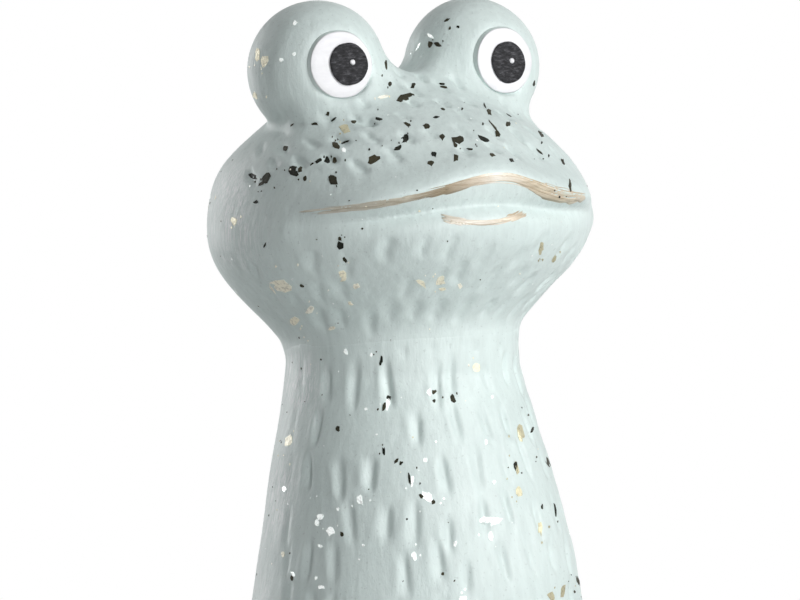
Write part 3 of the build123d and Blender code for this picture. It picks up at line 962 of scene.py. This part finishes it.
def map_range(tree, value, low, high, to=(0, 1), kind="LINEAR"):
    """A value between two bounds, brought to 0 to 1 or to other bounds."""
    inputs = {"Value": value, "From Min": low, "From Max": high, "To Min": to[0], "To Max": to[1]}
    return add_node(tree, "MapRange", inputs, interpolation_type=kind).outputs["Result"]


def noise(tree, scale, detail=4.0, roughness=0.55, stretch=(1, 1, 1)):
    """Noise in metres of the figure's own frame, drawn out along an axis where it is stretched."""
    place = add_node(tree, "Mapping", {"Vector": place_in(tree), "Scale": stretch}).outputs["Vector"]
    inputs = {"Vector": place, "Scale": scale, "Detail": detail, "Roughness": roughness}
    return add_node(tree, "TexNoise", inputs).outputs["Fac"]


def grey(value):
    return (value, value, value)


def ramp(tree, factor, stops):
    """Colour ramp. A stop is a position and a colour, or a position and a grey."""
    node = add_node(tree, "ValToRGB", {"Fac": factor})
    while len(node.color_ramp.elements) < len(stops):
        node.color_ramp.elements.new(0.5)
    for element, (position, tone) in zip(node.color_ramp.elements, stops):
        element.position = position
        element.color = (*(grey(tone) if isinstance(tone, (int, float)) else tone), 1)
    return node.outputs["Color"]


def mix(tree, factor, first, second, blend="MIX"):
    node = add_node(tree, "Mix", data_type="RGBA", blend_type=blend)
    colours = [number for number, socket in enumerate(node.inputs) if socket.type == "RGBA"]
    feed(tree, node, dict(zip([0, *colours], [factor, first, second])))
    return next(socket for socket in node.outputs if socket.type == "RGBA")


def multiply(tree, product, *colours):
    for colour in colours:
        product = mix(tree, 1.0, product, colour, "MULTIPLY")
    return product


def bump(tree, height, strength, depth):
    inputs = {"Height": height, "Strength": strength, "Distance": depth * MM}
    return add_node(tree, "Bump", inputs).outputs["Normal"]


def random_island(tree):
    return add_node(tree, "NewGeometry").outputs["Random Per Island"]


def blend_surfaces(tree, share, first, second, output):
    """Ends a tree with a mix of two surfaces."""
    either = add_node(tree, "MixShader", {0: share, 1: first, 2: second})
    tree.links.new(either.outputs["Shader"], tree.nodes[output].inputs["Surface"])


# Materials
def new_material(name):
    material = bpy.data.materials.new(name)
    material.use_nodes = True
    return material, material.node_tree


def coat(material, inputs):
    """The material, with the inputs of its surface fed."""
    tree = material.node_tree
    feed(tree, tree.nodes["Principled BSDF"], inputs)
    return material


def flank_reflection_streaks(tree):
    """Share of the pale streaks of painted reflection along the mould seam on each flank."""
    place = axes_of(tree, place_in(tree))
    aside = arithmetic(tree, "ABSOLUTE", place["X"])
    ahead = arithmetic(tree, "MULTIPLY", place["Y"], -1)
    turn = arithmetic(tree, "DIVIDE", arithmetic(tree, "ARCTAN2", aside, ahead), math.pi)
    band = ramp(tree, turn, [(degrees / 180, share) for degrees, share in REFLECTION_STREAK_TURNS])
    tall = cad_box[1][2] / MM
    height = arithmetic(tree, "DIVIDE", place["Z"], tall * MM)
    reach = ramp(tree, height, [((head_origin[2] + level) / tall, share) for level, share in REFLECTION_STREAK_LEVELS])
    strokes = ramp(tree, noise(tree, 1300, 4, 0.65, (1, 1, 0.07)), [(0.48, 0), (0.58, 1)])
    patches = ramp(tree, noise(tree, 48, 3), [(0.4, 0), (0.55, REFLECTION_STREAK_SHARE)])
    return multiply(tree, band, reach, strokes, patches)


def ceramic_material():
    """Satin sea-green glaze, clouded, streaked and specked, with pale streaks of painted reflection on its
    flanks.
    """
    material, tree = new_material("mint_ceramic")
    clouds = ramp(tree, noise(tree, 26, 3), [(0.3, (0.62, 0.715, 0.695)), (0.7, (0.675, 0.765, 0.745))])
    streaks = ramp(tree, noise(tree, 420, 3, 0.6, (1, 1, 0.12)), [(0.35, 0.93), (0.65, 1.0)])
    specks = ramp(tree, noise(tree, 900, 2), [(0.28, 0.86), (0.36, 1.0)])
    glaze = multiply(tree, clouds, streaks, specks)
    return coat(material, {
        # Pale streaks on the flanks: a painted reflection of a strip light.
        "Base Color": mix(tree, flank_reflection_streaks(tree), glaze, REFLECTION_STREAK_COLOUR),
        "Roughness": ramp(tree, noise(tree, 60, 4), [(0.3, 0.44), (0.7, 0.54)]),
        "Specular IOR Level": 0.5,
        "Normal": bump(tree, noise(tree, 380, 5, 0.6, (1, 1, 0.35)), 0.35, 0.8),
    })


def white_material():
    material, tree = new_material("eye_white")
    brush = noise(tree, 500, 3, 0.6, (0.25, 1, 1))
    return coat(material, {
        "Base Color": ramp(tree, brush, [(0.3, (0.75, 0.75, 0.77)), (0.7, (0.81, 0.81, 0.83))]),
        "Roughness": ramp(tree, noise(tree, 200, 3), [(0.3, 0.38), (0.7, 0.5)]),
        "Normal": bump(tree, noise(tree, 700, 4, 0.6, (0.3, 1, 1)), 0.2, 0.4),
    })


def pupil_material():
    material, tree = new_material("pupil_charcoal")
    brush = noise(tree, 900, 6, 0.7, (0.5, 1, 1.4))
    tones = [(0.35, (0.012, 0.012, 0.013)), (0.52, (0.032, 0.032, 0.035)), (0.66, (0.10, 0.10, 0.108))]
    return coat(material, {
        "Base Color": ramp(tree, brush, tones),
        "Roughness": ramp(tree, brush, [(0.3, 0.45), (0.7, 0.65)]),
        "Specular IOR Level": 0.1,
        "Normal": bump(tree, brush, 0.5, 0.5),
    })


def leaf_material(name, dull, bright, roughness, gloss, metal):
    """Metal leaf whose tone differs from flake to flake."""
    material, tree = new_material(name)
    tone = ramp(tree, random_island(tree), [(0.0, dull), (1.0, bright)])
    crumple = ramp(tree, noise(tree, 900, 4, 0.65), [(0.38, 0.7), (0.5, 1.0)])
    return coat(material, {
        "Base Color": multiply(tree, tone, crumple),
        "Roughness": ramp(tree, noise(tree, 500, 3), [(0.3, roughness), (0.7, roughness + 0.2)]),
        "Specular IOR Level": gloss,
        "Metallic": metal,
        "Normal": bump(tree, noise(tree, 1100, 4, 0.6), 0.6, 0.4),
    })


def gilding_material(name, washes):
    """Brushed gold, with the stops of its tone from the frog's right to its left."""
    material, tree = new_material(name)
    half = GILDED_HALF_WIDTH * MM
    wash = ramp(tree, map_range(tree, axes_of(tree, place_in(tree))["X"], -half, half), washes)
    streak = noise(tree, 900, 5, 0.7, (0.12, 0.12, 1))
    tone = ramp(tree, streak, [(0.34, (0.80, 0.76, 0.70)), (0.52, 0.98), (0.7, 1.0)])
    tuft = ramp(tree, random_island(tree), [(0.0, (0.70, 0.63, 0.54)), (0.35, 0.94), (1.0, 1.0)])
    return coat(material, {
        "Base Color": multiply(tree, wash, tone, tuft),
        "Roughness": ramp(tree, streak, [(0.3, 0.38), (0.7, 0.55)]),
        "Metallic": 0.2,
        "Normal": bump(tree, streak, 0.4, 0.3),
    })


def rubber_material():
    material, tree = new_material("bumper_rubber")
    return coat(material, {
        "Base Color": ramp(tree, noise(tree, 300, 4), [(0.3, 0.02), (0.7, 0.045)]),
        "Roughness": ramp(tree, noise(tree, 800, 3), [(0.3, 0.6), (0.7, 0.8)]),
        "Normal": bump(tree, noise(tree, 1500, 3), 0.3, 0.3),
    })


ceramic = ceramic_material()
white = white_material()
charcoal = pupil_material()

# Skins of head, body and limbs
head_nodes = ("head_shell", "upper_lip", "lower_lip", "eye_bulb_right", "eye_bulb_left")
body_nodes = ("body_shell", "neck_slip_joint")
head_piece = make_piece("head_skin", *head_skin(), ceramic, "mint_ceramic", head_nodes)
body_piece = make_piece("body_skin", *body_skin(), ceramic, "mint_ceramic", body_nodes)
for limb in ("haunch", "foot", "arm"):
    for hand in ("right", "left"):
        limb_skin(limb + "_" + hand)
head_tree = surface_tree(head_piece)
skin_tree = surface_tree(head_piece, body_piece)


# Turned forms: painted eyes and bumpers
def turned_form(profile, centre, normal, uneven, seed):
    """Vertices and faces of a slightly uneven turned form, from pairs of radius and height."""
    aside = np.cross(normal, UPWARD)
    aside /= np.linalg.norm(aside)
    upward = np.cross(normal, aside)
    turn = np.linspace(0, 2 * math.pi, TURNED_COLUMNS, endpoint=False)
    draws = np.random.default_rng(seed)
    outline = np.ones(TURNED_COLUMNS)
    for wave in range(2, 9):
        outline += uneven / wave * draws.normal() * np.sin(wave * turn + draws.uniform(0, 2 * math.pi))
    spoke = outline[:, None] * (np.cos(turn)[:, None] * aside + np.sin(turn)[:, None] * upward)
    layers = [centre + radius * spoke + height * normal for radius, height in profile]
    return close_tube(np.array(layers))


def inset_profile(radius, steps, level=0.0):
    return [(radius - inset, level + height) for inset, height in steps]


def domed_profile(radius, steps, crown, level=0.0):
    return inset_profile(radius, steps, level) + [(radius / 2, level + crown)]


def paint_eye(eye):
    """Glazed wall and white face of an eye's disc, with the pupil and its catchlight."""
    radius = eye.disc_radius
    front = float((eye.disc_front - eye.disc_back) @ eye.normal) - DISC_LOWERED
    wall = inset_profile(radius, DISC_WALL_FOOT) + inset_profile(radius, DISC_WALL_RIM, front)
    face = domed_profile(radius, DISC_FACE, DISC_CROWN, front)
    disc = (eye.disc_back, eye.normal, DISC_UNEVEN, SEED + 5)
    make_piece("eye_disc_wall_" + eye.side, *turned_form(wall, *disc), ceramic, "mint_ceramic")
    replaced = ("eye_disc_" + eye.side,)
    make_piece("eye_disc_face_" + eye.side, *turned_form(face, *disc), white, "eye_white", replaced)
    for node, suffix, steps, crown, uneven, seed, material, slot in (
            ("pupil", "_paint_", PUPIL_PAINT, PUPIL_CROWN, PUPIL_UNEVEN,
             SEED + 6, charcoal, "pupil_charcoal"),
            ("catchlight", "_dot_", CATCHLIGHT_DOT, CATCHLIGHT_CROWN, CATCHLIGHT_UNEVEN,
             SEED + 7, white, "eye_white")):
        middle, _, radius, _ = flat_frame(node + "_" + eye.side, FORWARD)
        middle = middle + np.array(PUPIL_NUDGE[eye.side])
        form = turned_form(domed_profile(radius, steps, crown), middle, eye.normal, uneven, seed)
        make_piece(node + suffix + eye.side, *form, material, slot, (node + "_" + eye.side,))


def bumper_pads():
    """Vertices and faces of the four pads, where the CAD bumpers stand."""
    points = node_points("base_bumpers")
    box_low, box_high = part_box("base_bumpers")
    middle = np.array(box_low + box_high) / 2 / MM
    # A hair off upright, so that a turned form has a direction aside
    upright = np.array([1e-9, 0.0, 1.0])
    pads = []
    for side in (-1, 1):
        for end in (-1, 1):
            own = points[(np.sign(points - middle)[:, :2] == (side, end)).all(1)]
            low, high = own.min(0), own.max(0)
            radius = (high[0] - low[0]) / 2
            height = high[2] - low[2]
            foot = (low + high) / 2 - np.array([0, 0, height / 2])
            profile = inset_profile(radius, BUMPER_FOOT) + inset_profile(radius, BUMPER_TOP, height)
            pads.append(turned_form(profile, foot, upright, BUMPER_UNEVEN, SEED + 8))
    return join_parts(pads)


for eye in eyes:
    paint_eye(eye)
make_piece("base_bumper_pads", *bumper_pads(), rubber_material(), "rubber", ("base_bumpers",))


# Brushed gold on the lips
def head_point(turn, level):
    """Point and normal on the head's skin, by degrees round it and height along its axis."""
    away = np.array([math.sin(math.radians(turn)), -math.cos(math.radians(turn)), 0])
    return cast(head_tree, from_head(FAR * away + np.array([0, 0, level])), -(away @ head_axes))


def bristle(line, start, end, offset, half_width, lift, draws):
    """Closed ribbon of paint left by one tuft of the brush."""
    turns = np.linspace(start, end, max(BRISTLE_LEAST_STEPS, int((end - start) / BRISTLE_STEP)))
    sways = draws.normal(size=BRISTLE_SWAYS)
    sway = BRISTLE_SWAY * np.interp(turns, np.linspace(start, end, BRISTLE_SWAYS), sways)
    swells = draws.uniform(*BRISTLE_SWELL, BRISTLE_SWELLS)
    swell = np.interp(turns, np.linspace(start, end, BRISTLE_SWELLS), swells)
    along = 2 * (turns - start) / (end - start) - 1
    taper = np.sqrt(np.clip(1 - along ** BRISTLE_BLUNTNESS, BRISTLE_TIP, 1))
    layers = []
    for turn, shift, width in zip(turns, sway, half_width * swell * taper):
        level = line(turn) + offset * (1 + BRISTLE_SPLAY * shift) + shift
        across = [head_point(turn, level + width * step) for step in BRISTLE_ACROSS]
        over = [point + lift * normal for point, normal in across]
        under = [point - BRISTLE_SINK * normal for point, normal in across]
        layers.append(over + under[::-1])
    return close_tube(np.array(layers))


def upper_stroke():
    """Thin dry wash on the right of the frog's lip, a fuller one on its left, and streaks of single tufts."""
    draws = np.random.default_rng(SEED + 9)
    parts = []
    for offset, start, end, width in UPPER_WASHES:
        parts.append(bristle(lip_line, start, end, offset, width, UPPER_WASH_LIFT, draws))
    for tuft in range(UPPER_TUFTS):
        offset = UPPER_STROKE_HEIGHT * (tuft / (UPPER_TUFTS - 1) - 0.5)
        at = UPPER_STROKE[0] + UPPER_DRY_START * draws.uniform()
        while at < UPPER_DRY_END:
            run = draws.uniform(*UPPER_DRY_RUN)
            width = draws.uniform(*UPPER_DRY_WIDTH)
            rise = UPPER_DRY_SPREAD * offset
            parts.append(bristle(lip_line, at, at + run, rise, width, UPPER_DRY_LIFT, draws))
            at += run * draws.uniform(*UPPER_DRY_GAP)
        start = draws.uniform(*UPPER_FULL_START)
        end = min(start + draws.uniform(*UPPER_FULL_RUN), UPPER_STROKE[1])
        width = draws.uniform(*UPPER_FULL_WIDTH)
        rise = UPPER_FULL_SPREAD * offset
        parts.append(bristle(lip_line, start, end, rise, width, UPPER_FULL_LIFT, draws))
    return join_parts(parts)


def lower_line(turn):
    return LOWER_STROKE_LEVEL + LOWER_STROKE_CURL * ((turn - LOWER_STROKE_MIDDLE) / LOWER_STROKE_REACH) ** 2


def lower_stroke():
    """Short curled stroke on the lower lip, fuller at its two ends."""
    draws = np.random.default_rng(SEED + 10)
    parts = []
    for tuft in range(LOWER_TUFTS):
        offset = LOWER_STROKE_HEIGHT * (tuft / (LOWER_TUFTS - 1) - 0.5)
        start = LOWER_STROKE[0] + LOWER_START_SPREAD * draws.uniform()
        end = LOWER_STROKE[1] - LOWER_END_SPREAD * draws.uniform()
        width = draws.uniform(*LOWER_STROKE_WIDTH)
        lift = LOWER_STROKE_LIFT + LOWER_TUFT_LIFT * tuft
        parts.append(bristle(lower_line, start, end, offset, width, lift, draws))
        spread, width, lift = LOWER_HEAD
        head_end = start + draws.uniform(*LOWER_HEAD_RUN)
        parts.append(bristle(lower_line, start, head_end, offset * spread, width, lift, draws))
        spread, width, lift = LOWER_TAIL
        tail_start = end - draws.uniform(*LOWER_TAIL_RUN)
        parts.append(bristle(lower_line, tail_start, end, offset * spread, width, lift, draws))
    return join_parts(parts)


upper_gold = gilding_material("upper_brushed_gold", UPPER_GOLD)
lower_gold = gilding_material("lower_brushed_gold", LOWER_GOLD)
make_piece("upper_gilding_strokes", *upper_stroke(), upper_gold, "gold_leaf", ("upper_lip_gilding",))
make_piece("lower_gilding_strokes", *lower_stroke(), lower_gold, "gold_leaf", ("lower_lip_gilding",))


# Metal leaf
def camera_frame():
    """Place and turn of the camera."""
    back = direction_of(CAMERA_AZIMUTH, CAMERA_ELEVATION)
    target = Vector((0, head_origin[1], CAMERA_TARGET_HEIGHT)) * MM
    return target + back * CAMERA_DISTANCE * MM, back.to_track_quat("Z", "Y")


def picture_point(x, y):
    """Point and normal on the skin behind a place in the picture."""
    place, turn = camera_frame()
    away = PHOTO_MM_PER_PIXEL / CAMERA_DISTANCE
    ray = turn @ Vector(((x - PHOTO_SIZE[0] / 2) * away, (PHOTO_SIZE[1] / 2 - y) * away, -1))
    return skin_tree.ray_cast(place, ray.normalized())[:2]


def flake_spots(draws, length, width, lean):
    """Ragged rim, half-way ring and middle of a flat flake, as steps to the right and up."""
    shift = draws.uniform(-FLAKE_TURN_SPREAD, FLAKE_TURN_SPREAD, FLAKE_POINTS)
    around = 2 * math.pi * (np.arange(FLAKE_POINTS) + shift) / FLAKE_POINTS
    reach = 0.5 * draws.uniform(*FLAKE_REACH, FLAKE_POINTS)
    rim = np.stack([np.cos(around) * reach, np.sin(around) * reach], -1) * (width, length)
    spots = np.concatenate([rim, 0.5 * rim, [(0, 0)]])
    turn = math.radians(lean)
    right = spots[:, 0] * math.cos(turn) - spots[:, 1] * math.sin(turn)
    up = spots[:, 0] * math.sin(turn) + spots[:, 1] * math.cos(turn)
    return np.stack([right, up], -1)


def flake_solid(hits):
    """Closed thin flake, from the points in metres and the normals of its spots on the skin."""
    points = np.array([hit for hit, _ in hits]) / MM
    normals = np.array([normal for _, normal in hits])
    count = FLAKE_POINTS
    below = len(points)
    faces = []
    for here in range(count):
        after = (here + 1) % count
        faces.append((2 * count, count + here, count + after))
        faces.append((count + here, here, after, count + after))
        faces.append((here, below + here, below + after, after))
        faces.append((below + here, below + 2 * count, below + after))
    return np.concatenate([points + FLAKE_LIFT * normals, points - FLAKE_SINK * normals]), faces


def placed_flake(x, y, length, width, lean, draws):
    """Flake seen at a place in the picture, or None where it would hang over an edge."""
    hits = [picture_point(x + right, y - up) for right, up in flake_spots(draws, length, width, lean)]
    if any(hit is None for hit, _ in hits):
        return None
    spread = max((hit - hits[-1][0]).length for hit, _ in hits) / MM
    return None if spread > FLAKE_STRETCH * length * PHOTO_MM_PER_PIXEL else flake_solid(hits)


def crumbs(x, y, length, draws):
    """Specks that broke off a large flake."""
    found = []
    for _ in range(CRUMBS if length >= CRUMB_LENGTH else 0):
        turn = draws.uniform(0, 2 * math.pi)
        away = length * draws.uniform(*CRUMB_REACH)
        size = draws.uniform(*CRUMB_SIZE)
        right, down = away * math.cos(turn), away * math.sin(turn)
        found.append(placed_flake(x + right, y + down, size, CRUMB_WIDTH * size, 0, draws))
    return found


def loose_flake(draws):
    """Small flake on the head or body, smaller where the camera sees it, or None where the ray misses."""
    turn = draws.uniform(-math.pi, math.pi)
    level = draws.uniform(*LOOSE_LEVELS)
    away = Vector((math.sin(turn), -math.cos(turn), 0))
    start = Vector((draws.normal(0, LOOSE_ASIDE), head_origin[1], level)) * MM + away * FAR * MM
    hit, normal = skin_tree.ray_cast(start, -away)[:2]
    if hit is None:
        return None
    aside = normal.orthogonal().normalized()
    upward = normal.cross(aside)
    seen = abs((math.degrees(turn) - CAMERA_AZIMUTH + 180) % 360 - 180) < LOOSE_SEEN_TURN
    if seen:
        size = draws.uniform(*LOOSE_SEEN_SIZE)
    else:
        size = LOOSE_LEAST_SIZE + LOOSE_SIZE_SPREAD[0] * draws.exponential(LOOSE_SIZE_SPREAD[1])
    spots = flake_spots(draws, size, size * draws.uniform(*LOOSE_WIDTHS), draws.uniform(0, 180))
    places = [hit + (aside * right + upward * up) * MM for right, up in spots]
    return flake_solid([skin_tree.find_nearest(place)[:2] for place in places])


def scatter(placed, loose, seed):
    """Vertices and faces of the placed flakes, their crumbs and the loose flakes of one kind of leaf."""
    draws = np.random.default_rng(seed)
    parts = [placed_flake(*flake, draws) for flake in placed]
    for x, y, length, _, _ in placed:
        parts += crumbs(x, y, length, draws)
    parts += [loose_flake(draws) for _ in range(loose)]
    return join_parts([part for part in parts if part is not None])


# Each kind's tones paint light and shade onto the one gold leaf.
for number, (kind, (placed, loose, *look)) in enumerate(LEAF.items()):
    leaf = leaf_material(kind + "_leaf", *look)
    flakes = scatter(placed, loose, SEED + 11 + number)
    make_piece(kind + "_leaf_flakes", *flakes, leaf, "gold_leaf", smooth=False)


# Camera, light and floor
def add_to_scene(name, data):
    thing = bpy.data.objects.new(name, data)
    bpy.context.scene.collection.objects.link(thing)
    return thing


def add_camera():
    data = bpy.data.cameras.new("photo_camera")
    data.sensor_width = SENSOR_WIDTH
    data.lens = SENSOR_WIDTH * CAMERA_DISTANCE / (PHOTO_SIZE[0] * PHOTO_MM_PER_PIXEL)
    camera = add_to_scene("photo_camera", data)
    camera.location, turn = camera_frame()
    camera.rotation_euler = turn.to_euler()
    bpy.context.scene.camera = camera


def add_softbox(name, azimuth_degrees, elevation_degrees, distance, width, height, power):
    """Area lamp round the figure, by the direction it shines from."""
    away = direction_of(azimuth_degrees, elevation_degrees)
    lamp = bpy.data.lights.new(name, "AREA")
    lamp.shape = "RECTANGLE"
    lamp.size = width * MM
    lamp.size_y = height * MM
    lamp.energy = power
    box = add_to_scene(name, lamp)
    box.location = Vector((0, 0, LAMP_TARGET_HEIGHT * MM)) + away * distance * MM
    box.rotation_euler = away.to_track_quat("Z", "Y").to_euler()


def seen_directly(tree):
    """1 for rays from the camera and for mirror and glass rays, else 0."""
    path = add_node(tree, "LightPath").outputs
    mirrored = arithmetic(tree, "MAXIMUM", path["Is Camera Ray"], path["Is Glossy Ray"])
    return arithmetic(tree, "MAXIMUM", mirrored, path["Is Transmission Ray"])


def add_world():
    """White backdrop, which lights the figure only as a dim fill that falls off overhead."""
    world = bpy.data.worlds.new("studio")
    bpy.context.scene.world = world
    world.use_nodes = True
    tree = world.node_tree
    backdrop = tree.nodes["Background"]
    feed(tree, backdrop, {"Color": grey(1), "Strength": 1.0})
    overhead = axes_of(tree, place_in(tree, "Generated"))["Z"]
    strength = map_range(tree, overhead, 0.0, WORLD_CEILING_START, (WORLD_FILL, WORLD_CEILING))
    fill = add_node(tree, "Background", {"Color": WORLD_TINT, "Strength": strength})
    surfaces = (fill.outputs["Background"], backdrop.outputs["Background"])
    blend_surfaces(tree, seen_directly(tree), *surfaces, "World Output")


def add_floor():
    """Pale floor that keeps the figure's shadow near it and runs out to plain white."""
    reach = FLOOR_RADIUS * MM
    bpy.ops.mesh.primitive_circle_add(vertices=96, radius=reach, fill_type="NGON", location=(0, 0, 0))
    floor = bpy.context.object
    floor.name = "floor"
    material, tree = new_material("pale_floor")
    colour = ramp(tree, noise(tree, 3, 2), [(0.3, 0.86), (0.7, 0.89)])
    coat(material, {"Base Color": colour, "Roughness": 0.9, "Specular IOR Level": 0.1})
    away = add_node(tree, "VectorMath", {0: place_in(tree)}, operation="LENGTH").outputs["Value"]
    fade = map_range(tree, away, *(reach * MM for reach in FLOOR_FADE), kind="SMOOTHSTEP")
    share = arithmetic(tree, "MULTIPLY", fade, seen_directly(tree))
    glow = add_node(tree, "Emission", {"Strength": 1.0}).outputs["Emission"]
    blend_surfaces(tree, share, tree.nodes["Principled BSDF"].outputs["BSDF"], glow, "Material Output")
    floor.data.materials.append(material)


add_camera()
add_world()
add_floor()
for lamp_name, lamp_values in LAMPS.items():
    add_softbox(lamp_name, *lamp_values)
bpy.context.scene.view_settings.view_transform = "Standard"
